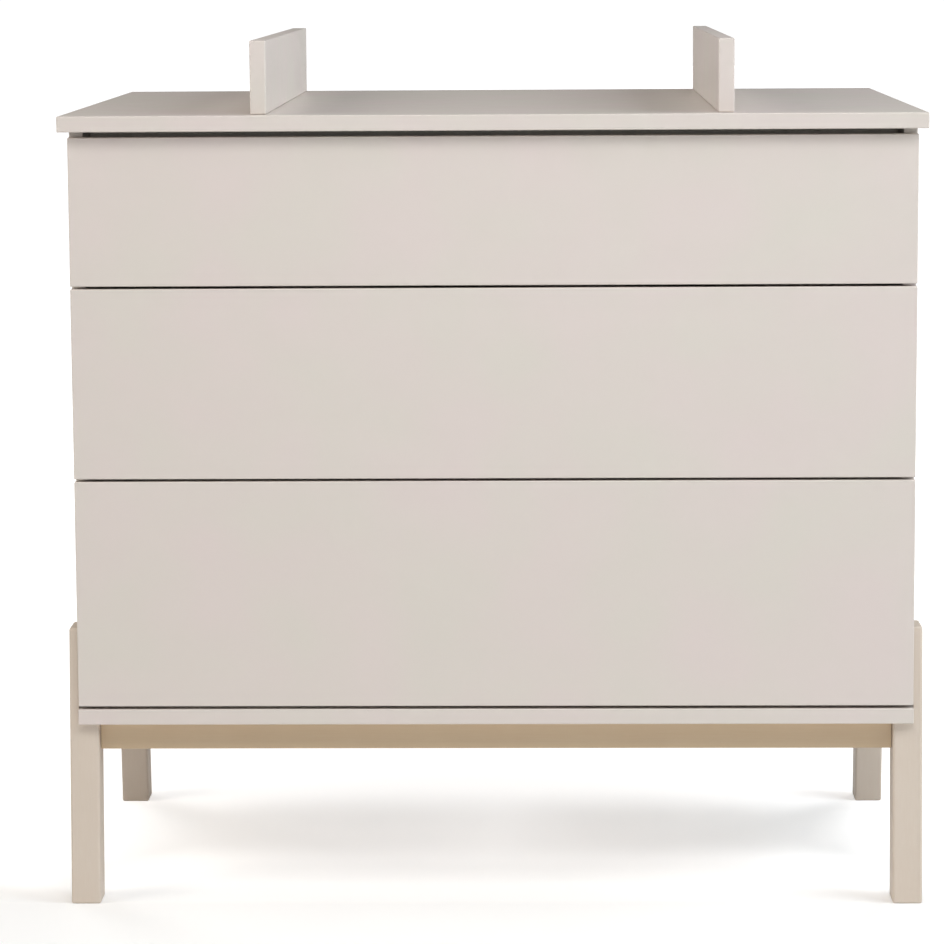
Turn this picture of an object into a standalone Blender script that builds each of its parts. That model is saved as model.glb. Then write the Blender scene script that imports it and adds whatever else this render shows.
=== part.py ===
"""A changing table: a three-drawer chest on four legs under a deep top with two barrier boards.

Metres, +Z up. The origin is on the floor, under the middle of the top. The drawers open towards -Y,
and left means -X. The body is a carcass of boards, each drawer runs on a pair of three-part ball
slides, and each leg has a shoulder that carries the carcass and a thin cheek bolted to its side.
"""

import math

import bmesh
import bpy
from mathutils import Matrix, Vector

# Top and barriers
TOP_WIDTH = 0.980
TOP_DEPTH = 0.720
TOP_THICKNESS = 0.018
BARRIER_THICKNESS = 0.018
BARRIER_HEIGHT = 0.083
BARRIER_CLEAR_WIDTH = 0.510
BARRIER_END_INSET = 0.020

# Carcass
SIDE_OVERHANG = 0.0095
FRONT_SETBACK = 0.012
LEG_HEIGHT = 0.2095
SIDE_THICKNESS = 0.016
BOTTOM_THICKNESS = 0.018
BACK_THICKNESS = 0.006
BACK_INSET = 0.012
STRETCHER_THICKNESS = 0.016
STRETCHER_WIDTH = 0.080
STRETCHER_SETBACK = 0.060

# Legs and the rails between them
LEG_WIDTH = 0.034
LEG_DEPTH = 0.040
LEG_CHEEK_THICKNESS = 0.0110
LEG_CHEEK_RISE = 0.1105
LEG_LEAN = math.radians(4.5)
LEG_FRONT_SETBACK = 0.008
LEG_REAR_SETBACK = 0.011
LEG_ROUNDING = 0.004
FOOT_ROUNDING = 0.002
RAIL_HEIGHT = 0.0325
RAIL_THICKNESS = 0.020
RAIL_SETBACK = 0.012
LEG_BOLT_RADIUS = 0.003
LEG_BOLT_HEAD_RADIUS = 0.006
LEG_BOLT_HEAD_HEIGHT = 0.0035
LEG_BOLT_SKIN = 0.003
LEG_BOLT_RISE = 0.051

# Drawers, from the top one down
FRONT_HEIGHTS = (0.169, 0.218, 0.2615)
FRONT_THICKNESS = 0.018
FRONT_GAP = 0.003
FRONT_BOTTOM_GAP = 0.0035
FRONT_TOP_GAP = 0.0065
FRONT_SIDE_CLEARANCE = 0.0007
PUSH_GAP = 0.003
BOX_SIDE_THICKNESS = 0.012
BOX_LIFT = 0.014
BOX_DROP = 0.045
BASE_THICKNESS = 0.005
BASE_LIFT = 0.010

# Ball slides and their touch-release catches
SLIDE_LENGTH = 0.450
SLIDE_SPACE = 0.013
SLIDE_HEIGHT = 0.045
SLIDE_STEEL = 0.0012
SLIDE_PLAY = 0.0006
SLIDE_BALL = 0.003
SLIDE_MOUTH_GAP = 0.0032
SLIDE_TIP_GAP = 0.0019
SLIDE_FRONT_INSET = 0.003
CATCH_LENGTH = 0.018
CATCH_HEIGHT = 0.036
CATCH_FRONT_GAP = 0.0035
CATCH_REAR_GAP = 0.0015
CATCH_SIDE_GAP = 0.0017

# Wall bracket under the rear edge of the top
BRACKET_WIDTH = 0.120
BRACKET_FLANGE = 0.045
BRACKET_STEEL = 0.0025
BRACKET_REAR_INSET = 0.0005
BRACKET_HOLE_RADIUS = 0.00275
BRACKET_HOLE_SPACING = 0.080

# Fits and edges
CONTACT_GAP = 0.0003
GROOVE_DEPTH = 0.006
GROOVE_PLAY = 0.0004
BOLT_PLAY = 0.0004
OVERCUT = 0.010
BOARD_EDGE = 0.002
HIDDEN_EDGE = 0.0008

# Places that several pieces share
BODY_HALF = TOP_WIDTH / 2 - SIDE_OVERHANG
INSIDE_HALF = BODY_HALF - SIDE_THICKNESS
FLOOR_OF_BODY = LEG_HEIGHT + BOTTOM_THICKNESS
FRONTS_HEIGHT = sum(FRONT_HEIGHTS) + (len(FRONT_HEIGHTS) - 1) * FRONT_GAP
TOP_UNDERSIDE = FLOOR_OF_BODY + FRONT_BOTTOM_GAP + FRONTS_HEIGHT + FRONT_TOP_GAP
TABLE_HEIGHT = TOP_UNDERSIDE + TOP_THICKNESS
FRONT_Y = -TOP_DEPTH / 2 + FRONT_SETBACK
FRONT_BACK_Y = FRONT_Y + FRONT_THICKNESS
CARCASS_FRONT_Y = FRONT_BACK_Y + PUSH_GAP
SLIDE_FRONT_Y = CARCASS_FRONT_Y + SLIDE_FRONT_INSET
SLIDE_REAR_Y = SLIDE_FRONT_Y + SLIDE_LENGTH
CATCH_FRONT_Y = SLIDE_REAR_Y + CATCH_FRONT_GAP
BACK_FRONT_Y = CATCH_FRONT_Y + CATCH_LENGTH + CATCH_REAR_GAP
CARCASS_REAR_Y = BACK_FRONT_Y + BACK_THICKNESS + BACK_INSET
BOX_HALF = INSIDE_HALF - SLIDE_SPACE
BOX_FRONT_Y = FRONT_BACK_Y + CONTACT_GAP
BOX_REAR_Y = SLIDE_REAR_Y
CABINET_REACH = SLIDE_SPACE - CONTACT_GAP - SLIDE_MOUTH_GAP
MIDDLE_REACH = CABINET_REACH - SLIDE_STEEL - SLIDE_PLAY
DRAWER_REACH = SLIDE_SPACE - 2 * CONTACT_GAP - 2 * SLIDE_STEEL - SLIDE_PLAY - SLIDE_TIP_GAP
CATCH_WIDTH = SLIDE_SPACE - CONTACT_GAP - CATCH_SIDE_GAP
LEG_OUTSIDE = BODY_HALF + LEG_CHEEK_THICKNESS
LEG_INSIDE = LEG_OUTSIDE - LEG_WIDTH
LEG_SHOULDER = LEG_HEIGHT - CONTACT_GAP
FRONT_LEG_Y = FRONT_Y + LEG_FRONT_SETBACK
REAR_LEG_Y = CARCASS_REAR_Y - LEG_REAR_SETBACK - LEG_DEPTH


def cleared_scene():
    for obj in list(bpy.data.objects):
        bpy.data.objects.remove(obj, do_unlink=True)


def new_collection(name):
    collection = bpy.data.collections.new(name)
    bpy.context.scene.collection.children.link(collection)
    return collection


def new_material(name, colour, roughness, metallic=0.0):
    material = bpy.data.materials.new(name)
    material.use_nodes = True
    shader = material.node_tree.nodes["Principled BSDF"]
    shader.inputs["Base Color"].default_value = (*colour, 1.0)
    shader.inputs["Roughness"].default_value = roughness
    shader.inputs["Metallic"].default_value = metallic
    material.diffuse_color = (*colour, 1.0)
    return material


cleared_scene()
TABLE = new_collection("changing_table")
CUTTERS = new_collection("cutters")
LACQUER = new_material("greige_lacquered_mdf", (0.68, 0.61, 0.55), 0.45)
RAIL_LACQUER = new_material("clay_lacquered_beech", (0.60, 0.52, 0.44), 0.48)
MELAMINE = new_material("pale_melamine_board", (0.74, 0.71, 0.66), 0.5)
HARDBOARD = new_material("lacquered_hardboard", (0.66, 0.62, 0.56), 0.6)
ZINC_STEEL = new_material("zinc_plated_steel", (0.62, 0.63, 0.65), 0.35, 1.0)
CATCH_PLASTIC = new_material("grey_acetal", (0.35, 0.35, 0.36), 0.5)


def new_object(name, mesh, centre, collection, parent=None):
    obj = bpy.data.objects.new(name, mesh)
    collection.objects.link(obj)
    obj.parent = parent
    obj.location = centre - (parent.location if parent else Vector((0, 0, 0)))
    return obj


def box_mesh(name, size):
    shape = bmesh.new()
    bmesh.ops.create_cube(shape, size=1.0)
    bmesh.ops.scale(shape, vec=size, verts=shape.verts)
    mesh = bpy.data.meshes.new(name)
    shape.to_mesh(mesh)
    shape.free()
    return mesh


def board(name, low, high, material, edge=BOARD_EDGE, segments=2, parent=None):
    """A board between two corners, with its edges rounded."""
    low = Vector(low)
    high = Vector(high)
    obj = new_object(name, box_mesh(name, high - low), (low + high) / 2, TABLE, parent)
    obj.data.materials.append(material)
    rounding = obj.modifiers.new("rounded_edges", "BEVEL")
    rounding.width = edge
    rounding.segments = segments
    return obj


def as_cutter(obj):
    obj.hide_render = True
    obj.display_type = "WIRE"
    return obj


def box_cutter(name, low, high):
    low = Vector(low)
    high = Vector(high)
    return as_cutter(new_object(name, box_mesh(name, high - low), (low + high) / 2, CUTTERS))


def round_cutter(name, centre, radius, length, axis):
    """A drill along the X, Y or Z axis."""
    shape = bmesh.new()
    turn = {"X": Matrix.Rotation(math.pi / 2, 4, "Y"), "Y": Matrix.Rotation(math.pi / 2, 4, "X")}
    bmesh.ops.create_cone(
        shape, cap_ends=True, segments=16, radius1=radius, radius2=radius, depth=length,
        matrix=turn.get(axis, Matrix()),
    )
    mesh = bpy.data.meshes.new(name)
    shape.to_mesh(mesh)
    shape.free()
    return as_cutter(new_object(name, mesh, Vector(centre), CUTTERS))


def cut(obj, cutter):
    boolean = obj.modifiers.new(cutter.name, "BOOLEAN")
    boolean.operation = "DIFFERENCE"
    boolean.solver = "EXACT"
    boolean.object = cutter


def side_span(side, inner, outer):
    """Low and high X of a stretch that lies this far out on the left (-1) or right (+1) side."""
    return (side * outer, side * inner) if side < 0 else (side * inner, side * outer)


SIDES = (("left", -1), ("right", 1))
ENDS = ("front", "rear")


def leg_place(end):
    """Y of a leg's front face at its shoulder, and how far its foot moves in Y for each metre down."""
    slope = math.tan(LEG_LEAN)
    return (FRONT_LEG_Y, -slope) if end == "front" else (REAR_LEG_Y, slope)


def leg_bolt_y(end):
    start, slope = leg_place(end)
    return start + LEG_DEPTH / 2 - slope * LEG_BOLT_RISE


def make_top():
    half = TOP_WIDTH / 2
    board(
        "top_board", (-half, -TOP_DEPTH / 2, TOP_UNDERSIDE), (half, TOP_DEPTH / 2, TABLE_HEIGHT), LACQUER,
    )
    foot = TABLE_HEIGHT + CONTACT_GAP
    for word, side in SIDES:
        inner = BARRIER_CLEAR_WIDTH / 2
        left, right = side_span(side, inner, inner + BARRIER_THICKNESS)
        board(
            f"barrier_{word}",
            (left, -TOP_DEPTH / 2 + BARRIER_END_INSET, foot),
            (right, TOP_DEPTH / 2 - BARRIER_END_INSET, foot + BARRIER_HEIGHT),
            LACQUER,
        )


def make_carcass():
    bottom = board(
        "bottom_panel",
        (-BODY_HALF, FRONT_Y, LEG_HEIGHT), (BODY_HALF, CARCASS_REAR_Y, FLOOR_OF_BODY),
        LACQUER,
    )
    groove_front = BACK_FRONT_Y - GROOVE_PLAY
    groove_rear = BACK_FRONT_Y + BACK_THICKNESS + GROOVE_PLAY
    groove_half = INSIDE_HALF + GROOVE_DEPTH
    cut(bottom, box_cutter(
        "bottom_groove",
        (-groove_half, groove_front, FLOOR_OF_BODY - GROOVE_DEPTH),
        (groove_half, groove_rear, FLOOR_OF_BODY + OVERCUT),
    ))
    foot = FLOOR_OF_BODY + CONTACT_GAP
    head = TOP_UNDERSIDE - CONTACT_GAP
    for word, side in SIDES:
        left, right = side_span(side, INSIDE_HALF, BODY_HALF)
        panel = board(
            f"side_panel_{word}", (left, CARCASS_FRONT_Y, foot), (right, CARCASS_REAR_Y, head), LACQUER,
        )
        left, right = side_span(side, INSIDE_HALF - OVERCUT, groove_half)
        cut(panel, box_cutter(
            f"side_groove_{word}",
            (left, groove_front, foot - OVERCUT), (right, groove_rear, head + OVERCUT),
        ))
        for end in ENDS:
            cut(panel, round_cutter(
                f"side_bolt_hole_{end}_{word}",
                (side * INSIDE_HALF, leg_bolt_y(end), LEG_HEIGHT + LEG_BOLT_RISE),
                LEG_BOLT_RADIUS + BOLT_PLAY, 4 * SIDE_THICKNESS, "X",
            ))
    back_half = groove_half - GROOVE_PLAY
    board(
        "back_panel",
        (-back_half, BACK_FRONT_Y, FLOOR_OF_BODY - GROOVE_DEPTH + GROOVE_PLAY),
        (back_half, BACK_FRONT_Y + BACK_THICKNESS, head),
        HARDBOARD, HIDDEN_EDGE, 1,
    )
    half = INSIDE_HALF - CONTACT_GAP
    starts = {
        "front": CARCASS_FRONT_Y + STRETCHER_SETBACK,
        "rear": BACK_FRONT_Y - CONTACT_GAP - STRETCHER_WIDTH,
    }
    for end, start in starts.items():
        board(
            f"stretcher_{end}",
            (-half, start, head - STRETCHER_THICKNESS), (half, start + STRETCHER_WIDTH, head),
            MELAMINE, HIDDEN_EDGE, 1,
        )


def leg_mesh(name, side, end):
    """A leaning post from the floor to the top of its cheek, its shoulder cut later."""
    start, slope = leg_place(end)
    height = LEG_HEIGHT + LEG_CHEEK_RISE
    shape = bmesh.new()
    bmesh.ops.create_cube(shape, size=1.0)
    bmesh.ops.scale(shape, vec=(LEG_WIDTH, LEG_DEPTH, height), verts=shape.verts)
    bmesh.ops.translate(shape, vec=(0, 0, height / 2), verts=shape.verts)
    feet = [edge for edge in shape.edges if all(corner.co.z < height / 4 for corner in edge.verts)]
    rest = [edge for edge in shape.edges if edge not in feet]
    bmesh.ops.bevel(
        shape, geom=rest, offset=LEG_ROUNDING, segments=3, profile=0.5, affect="EDGES", material=-1,
    )
    low = [edge for edge in shape.edges if all(corner.co.z < FOOT_ROUNDING / 2 for corner in edge.verts)]
    bmesh.ops.bevel(
        shape, geom=low, offset=FOOT_ROUNDING, segments=1, profile=0.5, affect="EDGES", material=-1,
    )
    lean = Matrix.Identity(4)
    lean[1][2] = -slope
    bmesh.ops.transform(shape, matrix=lean, verts=shape.verts)
    centre = (side * (LEG_OUTSIDE - LEG_WIDTH / 2), start + LEG_DEPTH / 2 + slope * LEG_HEIGHT, 0)
    bmesh.ops.translate(shape, vec=centre, verts=shape.verts)
    mesh = bpy.data.meshes.new(name)
    shape.to_mesh(mesh)
    shape.free()
    return mesh


def make_leg(end, word, side):
    name = f"leg_{end}_{word}"
    leg = new_object(name, leg_mesh(name, side, end), Vector((0, 0, 0)), TABLE)
    leg.data.materials.append(RAIL_LACQUER)
    left, right = side_span(side, LEG_INSIDE - OVERCUT, BODY_HALF + CONTACT_GAP)
    start = leg_place(end)[0]
    cut(leg, box_cutter(
        f"shoulder_{end}_{word}",
        (left, start - 2 * LEG_DEPTH, LEG_SHOULDER),
        (right, start + 3 * LEG_DEPTH, LEG_HEIGHT + LEG_CHEEK_RISE + OVERCUT),
    ))
    tip = LEG_OUTSIDE - LEG_BOLT_SKIN
    bolt_z = LEG_HEIGHT + LEG_BOLT_RISE
    cut(leg, round_cutter(
        f"leg_bolt_hole_{end}_{word}",
        (side * (tip + CONTACT_GAP - SIDE_THICKNESS / 2), leg_bolt_y(end), bolt_z),
        LEG_BOLT_RADIUS + BOLT_PLAY, SIDE_THICKNESS, "X",
    ))
    make_leg_bolt(f"leg_bolt_{end}_{word}", side, tip, leg_bolt_y(end), bolt_z)


def make_leg_bolt(name, side, tip, y, z):
    """A cap bolt, headed inside the carcass, whose tip ends in the leg's cheek."""
    seat = INSIDE_HALF - CONTACT_GAP
    crown = seat - LEG_BOLT_HEAD_HEIGHT
    edge = LEG_BOLT_HEAD_HEIGHT / 5
    outline = (
        (0.0, crown), (LEG_BOLT_HEAD_RADIUS - edge, crown), (LEG_BOLT_HEAD_RADIUS, crown + edge),
        (LEG_BOLT_HEAD_RADIUS, seat), (LEG_BOLT_RADIUS, seat), (LEG_BOLT_RADIUS, tip), (0.0, tip),
    )
    shape = bmesh.new()
    points = [shape.verts.new((along, radius, 0.0)) for radius, along in outline]
    edges = [shape.edges.new(pair) for pair in zip(points, points[1:])]
    bmesh.ops.spin(
        shape, geom=points + edges, cent=(0, 0, 0), axis=(1, 0, 0), angle=2 * math.pi, steps=16,
        use_merge=True,
    )
    bmesh.ops.remove_doubles(shape, verts=shape.verts, dist=0.00001)
    bmesh.ops.scale(shape, vec=(side, 1, 1), verts=shape.verts)
    bmesh.ops.recalc_face_normals(shape, faces=shape.faces)
    mesh = bpy.data.meshes.new(name)
    shape.to_mesh(mesh)
    shape.free()
    mesh.materials.append(ZINC_STEEL)
    mesh.shade_smooth()
    mesh.set_sharp_from_angle(angle=math.radians(35))
    new_object(name, mesh, Vector((0, y, z)), TABLE)


def make_stand():
    for end in ENDS:
        for word, side in SIDES:
            make_leg(end, word, side)
    half = LEG_INSIDE - CONTACT_GAP
    starts = {
        "front": FRONT_LEG_Y + RAIL_SETBACK,
        "rear": REAR_LEG_Y + LEG_DEPTH - RAIL_SETBACK - RAIL_THICKNESS,
    }
    for end, start in starts.items():
        board(
            f"rail_{end}",
            (-half, start, LEG_SHOULDER - RAIL_HEIGHT), (half, start + RAIL_THICKNESS, LEG_SHOULDER),
            RAIL_LACQUER, HIDDEN_EDGE, 1,
        )


def make_wall_bracket():
    """An angle screwed up into the top, its other flange flat against the wall."""
    rear = TOP_DEPTH / 2 - BRACKET_REAR_INSET
    head = TOP_UNDERSIDE - CONTACT_GAP
    half = BRACKET_WIDTH / 2
    bracket = board(
        "wall_bracket", (-half, rear - BRACKET_FLANGE, head - BRACKET_FLANGE), (half, rear, head),
        ZINC_STEEL, BRACKET_STEEL / 5, 1,
    )
    cut(bracket, box_cutter(
        "bracket_inside",
        (-half - OVERCUT, rear - BRACKET_FLANGE - OVERCUT, head - BRACKET_FLANGE - OVERCUT),
        (half + OVERCUT, rear - BRACKET_STEEL, head - BRACKET_STEEL),
    ))
    middle = BRACKET_FLANGE / 2
    for word, side in SIDES:
        x = side * BRACKET_HOLE_SPACING / 2
        places = {"Y": (x, rear, head - middle), "Z": (x, rear - middle, head)}
        for axis, centre in places.items():
            cut(bracket, round_cutter(
                f"bracket_hole_{axis}_{word}", centre, BRACKET_HOLE_RADIUS, 6 * BRACKET_STEEL, axis,
            ))


def channel(name, side, back, reach, height, centre_z, ends, parent=None):
    """A C-shaped strip of steel along Y, its web at X = back and its open side where reach points."""
    outer = sorted((side * back, side * (back + reach)))
    web = SLIDE_STEEL if reach > 0 else -SLIDE_STEEL
    inner = sorted((side * (back + web), side * (back + reach + math.copysign(OVERCUT, reach))))
    half = height / 2
    strip = board(
        name, (outer[0], ends[0], centre_z - half), (outer[1], ends[1], centre_z + half),
        ZINC_STEEL, SLIDE_STEEL / 3, 1, parent,
    )
    cut(strip, box_cutter(
        f"hollow_of_{name}",
        (inner[0], ends[0] - OVERCUT, centre_z - half + SLIDE_STEEL),
        (inner[1], ends[1] + OVERCUT, centre_z + half - SLIDE_STEEL),
    ))


def make_slides(number, centre_z, drawer, runners):
    """The three nested members of each slide, a ball's width apart, and the catch behind it."""
    ends = (SLIDE_FRONT_Y, SLIDE_REAR_Y)
    cabinet_back = INSIDE_HALF - CONTACT_GAP
    middle_back = cabinet_back - SLIDE_STEEL - SLIDE_PLAY
    drawer_back = BOX_HALF + CONTACT_GAP
    narrower = 2 * (SLIDE_STEEL + SLIDE_BALL)
    for word, side in SIDES:
        start = f"slide_{number}_{word}"
        channel(f"{start}_cabinet", side, cabinet_back, -CABINET_REACH, SLIDE_HEIGHT, centre_z, ends)
        channel(
            f"{start}_middle", side, middle_back, -MIDDLE_REACH, SLIDE_HEIGHT - narrower,
            centre_z, ends, runners,
        )
        channel(
            f"{start}_drawer", side, drawer_back, DRAWER_REACH, SLIDE_HEIGHT - 2 * narrower,
            centre_z, ends, drawer,
        )
        left, right = side_span(side, cabinet_back - CATCH_WIDTH, cabinet_back)
        board(
            f"catch_{number}_{word}",
            (left, CATCH_FRONT_Y, centre_z - CATCH_HEIGHT / 2),
            (right, CATCH_FRONT_Y + CATCH_LENGTH, centre_z + CATCH_HEIGHT / 2),
            CATCH_PLASTIC, BOARD_EDGE, 1,
        )


def make_box(number, foot, height, drawer):
    """The two sides and the back of a drawer, and the base that sits in their grooves."""
    head = foot + height
    base_low = foot + BASE_LIFT
    groove_low = base_low - GROOVE_PLAY
    groove_high = base_low + BASE_THICKNESS + GROOVE_PLAY
    clear_half = BOX_HALF - BOX_SIDE_THICKNESS
    groove_half = clear_half + GROOVE_DEPTH
    for word, side in SIDES:
        left, right = side_span(side, clear_half, BOX_HALF)
        wall = board(
            f"drawer_{number}_side_{word}", (left, BOX_FRONT_Y, foot), (right, BOX_REAR_Y, head),
            MELAMINE, HIDDEN_EDGE, 1, drawer,
        )
        left, right = side_span(side, clear_half - OVERCUT, groove_half)
        cut(wall, box_cutter(
            f"drawer_{number}_side_groove_{word}",
            (left, BOX_FRONT_Y - OVERCUT, groove_low), (right, BOX_REAR_Y + OVERCUT, groove_high),
        ))
    half = clear_half - CONTACT_GAP
    inner_y = BOX_REAR_Y - BOX_SIDE_THICKNESS
    back = board(
        f"drawer_{number}_back", (-half, inner_y, foot), (half, BOX_REAR_Y, head),
        MELAMINE, HIDDEN_EDGE, 1, drawer,
    )
    cut(back, box_cutter(
        f"drawer_{number}_back_groove",
        (-half - OVERCUT, inner_y - OVERCUT, groove_low),
        (half + OVERCUT, inner_y + GROOVE_DEPTH, groove_high),
    ))
    into = GROOVE_DEPTH - GROOVE_PLAY
    board(
        f"drawer_{number}_base",
        (-clear_half - into, FRONT_BACK_Y - into, base_low),
        (clear_half + into, inner_y + into, base_low + BASE_THICKNESS),
        HARDBOARD, HIDDEN_EDGE, 1, drawer,
    )
    return (groove_low, groove_high, groove_half)


def make_front(number, foot, height, groove, drawer):
    half = BODY_HALF - FRONT_SIDE_CLEARANCE
    front = board(
        f"drawer_{number}_front", (-half, FRONT_Y, foot), (half, FRONT_BACK_Y, foot + height),
        LACQUER, BOARD_EDGE, 2, drawer,
    )
    low, high, groove_half = groove
    cut(front, box_cutter(
        f"drawer_{number}_front_groove",
        (-groove_half, FRONT_BACK_Y - GROOVE_DEPTH, low), (groove_half, FRONT_BACK_Y + OVERCUT, high),
    ))


def axis_point(name, z):
    """The point on a sliding body's axis that its pieces hang from."""
    empty = bpy.data.objects.new(name, None)
    TABLE.objects.link(empty)
    empty.location = (0, FRONT_Y, z)
    return empty


def make_drawers():
    foot = FLOOR_OF_BODY + FRONT_BOTTOM_GAP
    for number in range(len(FRONT_HEIGHTS), 0, -1):
        front_height = FRONT_HEIGHTS[number - 1]
        box_height = front_height - BOX_LIFT - BOX_DROP
        box_foot = foot + BOX_LIFT
        slide_z = box_foot + box_height / 2
        drawer = axis_point(f"drawer_{number}", slide_z)
        runners = axis_point(f"runners_{number}", slide_z)
        groove = make_box(number, box_foot, box_height, drawer)
        make_front(number, foot, front_height, groove, drawer)
        make_slides(number, slide_z, drawer, runners)
        foot += front_height + FRONT_GAP


make_top()
make_carcass()
make_stand()
make_wall_bracket()
make_drawers()
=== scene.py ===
import math

import bmesh
import bpy
from mathutils import Matrix, Quaternion, Vector


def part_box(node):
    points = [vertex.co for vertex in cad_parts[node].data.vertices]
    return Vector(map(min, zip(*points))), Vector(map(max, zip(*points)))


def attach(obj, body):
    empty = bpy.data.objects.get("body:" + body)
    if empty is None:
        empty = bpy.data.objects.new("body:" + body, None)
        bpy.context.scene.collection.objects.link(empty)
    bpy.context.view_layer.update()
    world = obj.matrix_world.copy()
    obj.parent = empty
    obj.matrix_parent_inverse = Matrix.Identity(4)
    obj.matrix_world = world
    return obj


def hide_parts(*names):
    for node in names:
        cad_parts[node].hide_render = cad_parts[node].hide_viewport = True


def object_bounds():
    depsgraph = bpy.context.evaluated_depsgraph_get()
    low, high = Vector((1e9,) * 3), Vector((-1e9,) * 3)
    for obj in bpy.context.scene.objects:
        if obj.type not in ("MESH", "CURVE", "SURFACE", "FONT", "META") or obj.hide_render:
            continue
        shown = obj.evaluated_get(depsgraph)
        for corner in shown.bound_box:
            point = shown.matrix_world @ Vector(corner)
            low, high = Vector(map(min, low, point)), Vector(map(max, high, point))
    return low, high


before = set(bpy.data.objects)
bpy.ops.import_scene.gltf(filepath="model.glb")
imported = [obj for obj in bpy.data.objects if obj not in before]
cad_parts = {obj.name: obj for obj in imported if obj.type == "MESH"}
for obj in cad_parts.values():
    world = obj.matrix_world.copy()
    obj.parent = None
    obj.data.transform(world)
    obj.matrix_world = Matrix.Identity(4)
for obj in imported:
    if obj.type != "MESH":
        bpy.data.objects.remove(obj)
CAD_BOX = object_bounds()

# The looks of a changing table: a chest of three drawers with no handles, on four leaning legs,
# under a deep top with two low guards for a changing mat. Lengths are in metres, and the drawers
# open towards -Y.

SIDES = (("left", -1), ("right", 1))
ENDS = ("front", "rear")
DRAWERS = (1, 2, 3)
X, Y, Z = 0, 1, 2
ALONG = (Vector((1, 0, 0)), Vector((0, 1, 0)), Vector((0, 0, 1)))

# Camera: in front of the table, a little to the right and above its top, looking slightly down
CAMERA_SENSOR = 36.0
CAMERA_LENS = 131.86
CAMERA_SHIFT = -0.08
CAMERA_DISTANCE = 3.8849
CAMERA_SIDE = 0.0594
CAMERA_HEIGHT = 1.0862
CAMERA_PITCH = 0.12668
CAMERA_YAW = -0.02145
CAMERA_ROLL = 0.00602

# Studio floor: a painted glow that only the camera sees. It burns the floor out to white far away,
# and leaves a painted shade under the chest, where less is added. A pair gives where a change
# starts and ends, or the glow at its start and end.
FLOOR_REACH = 30.0
SHADE_MIDDLE = -0.01
SHADE_SIDES = (0.35, 0.54)
SHADE_DEPTHS = (0.04, 0.24)
SHADE_LEFT = -0.33
SHADE_RIGHT = 0.42
LEFT_BURN = 0.36
MIDDLE_BURN = 0.47
RIGHT_BURN = 0.11
NEAR_FLOOR = (-0.36, -0.16)
NEAR_BURN = (0.09, 0.66)
FAR_FLOOR = (0.9, 3.0)
FAR_BURN = 1.1

# Studio light: the room's own glow, as seen and as it lights the table, and seven soft boxes with
# their place, width, height, watts and colour
ROOM_GLOW = 1.05
ROOM_LIGHT = 0.08
LIGHT_AIM = (0.0, -0.2, 0.55)
SOFT_BOXES = {
    "right_box": ((3.93, -0.54, 1.99), 1.8, 1.8, 32, "#F0F9FF"),
    "right_high_box": ((2.77, -1.21, 2.61), 1.8, 1.8, 67, "#F0F9FF"),
    "left_high_box": ((-2.77, -1.21, 2.61), 1.8, 1.8, 50, "#FFF9F0"),
    "overhead_box": ((0.17, -2.14, 3.34), 1.8, 1.2, 44, "#FFFFFF"),
    "front_low_box": ((0.2, -4.4, 0.75), 1.8, 1.0, 27, "#FFFFFF"),
    "rear_right_box": ((2.64, 2.95, 1.42), 1.8, 1.8, 42, "#FFFFFF"),
    "rear_left_box": ((-2.64, 2.95, 1.42), 1.8, 1.8, 42, "#FFFFFF"),
}

# Finishes: where a noise pattern's useful values start and end, then the width of each pattern and
# the height of each relief
PATTERN = (0.3, 0.7)
LACQUER_DRIFT = 0.12
LACQUER_HAZE = 0.035
ORANGE_PEEL, PEEL_HEIGHT = 0.0035, 0.00004
GRAIN_WIDTH, GRAIN_LENGTH, GRAIN_HEIGHT = 0.0016, 0.045, 0.00008
BEECH_DRIFT = 0.09
MELAMINE_SPECK = 0.006
PEARL, PEARL_HEIGHT = 0.0018, 0.00006
FELT, FELT_HEIGHT = 0.0045, 0.0001
ROLL_LINE_WIDTH, ROLL_LINE_LENGTH, ROLL_LINE_HEIGHT = 0.0007, 0.06, 0.00003
ZINC_CLOUD = 0.02
GREASE_FILM = 0.002
SPARK_GRAIN, SPARK_HEIGHT = 0.0009, 0.00005
PAPER_CLOUD = 0.4

# Boards and legs
FACE_EDGE = 0.0012
HIDDEN_EDGE = 0.0008
EDGE_STEPS = 5
BOARD_GAP = 0.0003
GROOVE_DEPTH = 0.006
GROOVE_PLAY = 0.0004
LEG_ROUNDING = 0.003
FOOT_ROUNDING = 0.0020
LEG_LEAN = math.radians(4.5)

# Screw heads: radius and height, and the shape of the head as shares of them
SLIDE_SCREW_SIZE = (0.0033, 0.0015)
WOOD_SCREW_SIZE = (0.0042, 0.0017)
PANEL_PIN_SIZE = (0.0024, 0.0007)
HEAD_TAPER = 0.92
HEAD_ROUNDING = 0.45
CROSS_REACH = 0.5
CROSS_WIDTH = 0.13
CROSS_DEPTH = 0.6
FIRST_TURN, NEXT_TURN = 11, 37
GUARD_SCREWS = (0.06, 0.35, 0.65, 0.94)
DRAWER_SCREWS = (0.08, 0.36, 0.64, 0.92)
PIN_COUNT = 9
PIN_EDGE = 0.03

# Bolts of the legs: the round edge of the head and the point are (along, inward) steps
BOLT_SHANK = 0.003
BOLT_HEAD = 0.0035
HEAD_EDGE = ((0.0012, 0.0), (0.0004, 0.0006), (0.0, 0.0016))
BOLT_POINT = (0.0008, 0.0006)
BOLT_HOLE = 0.0034
BOLT_HOLE_DEPTH = 0.016
THROUGH_DRILL = 0.06

# Anti-tip angle
ANGLE_PLATE = 0.0025
ANGLE_HOLE = 0.00275
ANGLE_HOLE_SIDE = 0.04
ANGLE_HOLE_IN = 0.0225
ANGLE_DRILL = 0.015

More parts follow.
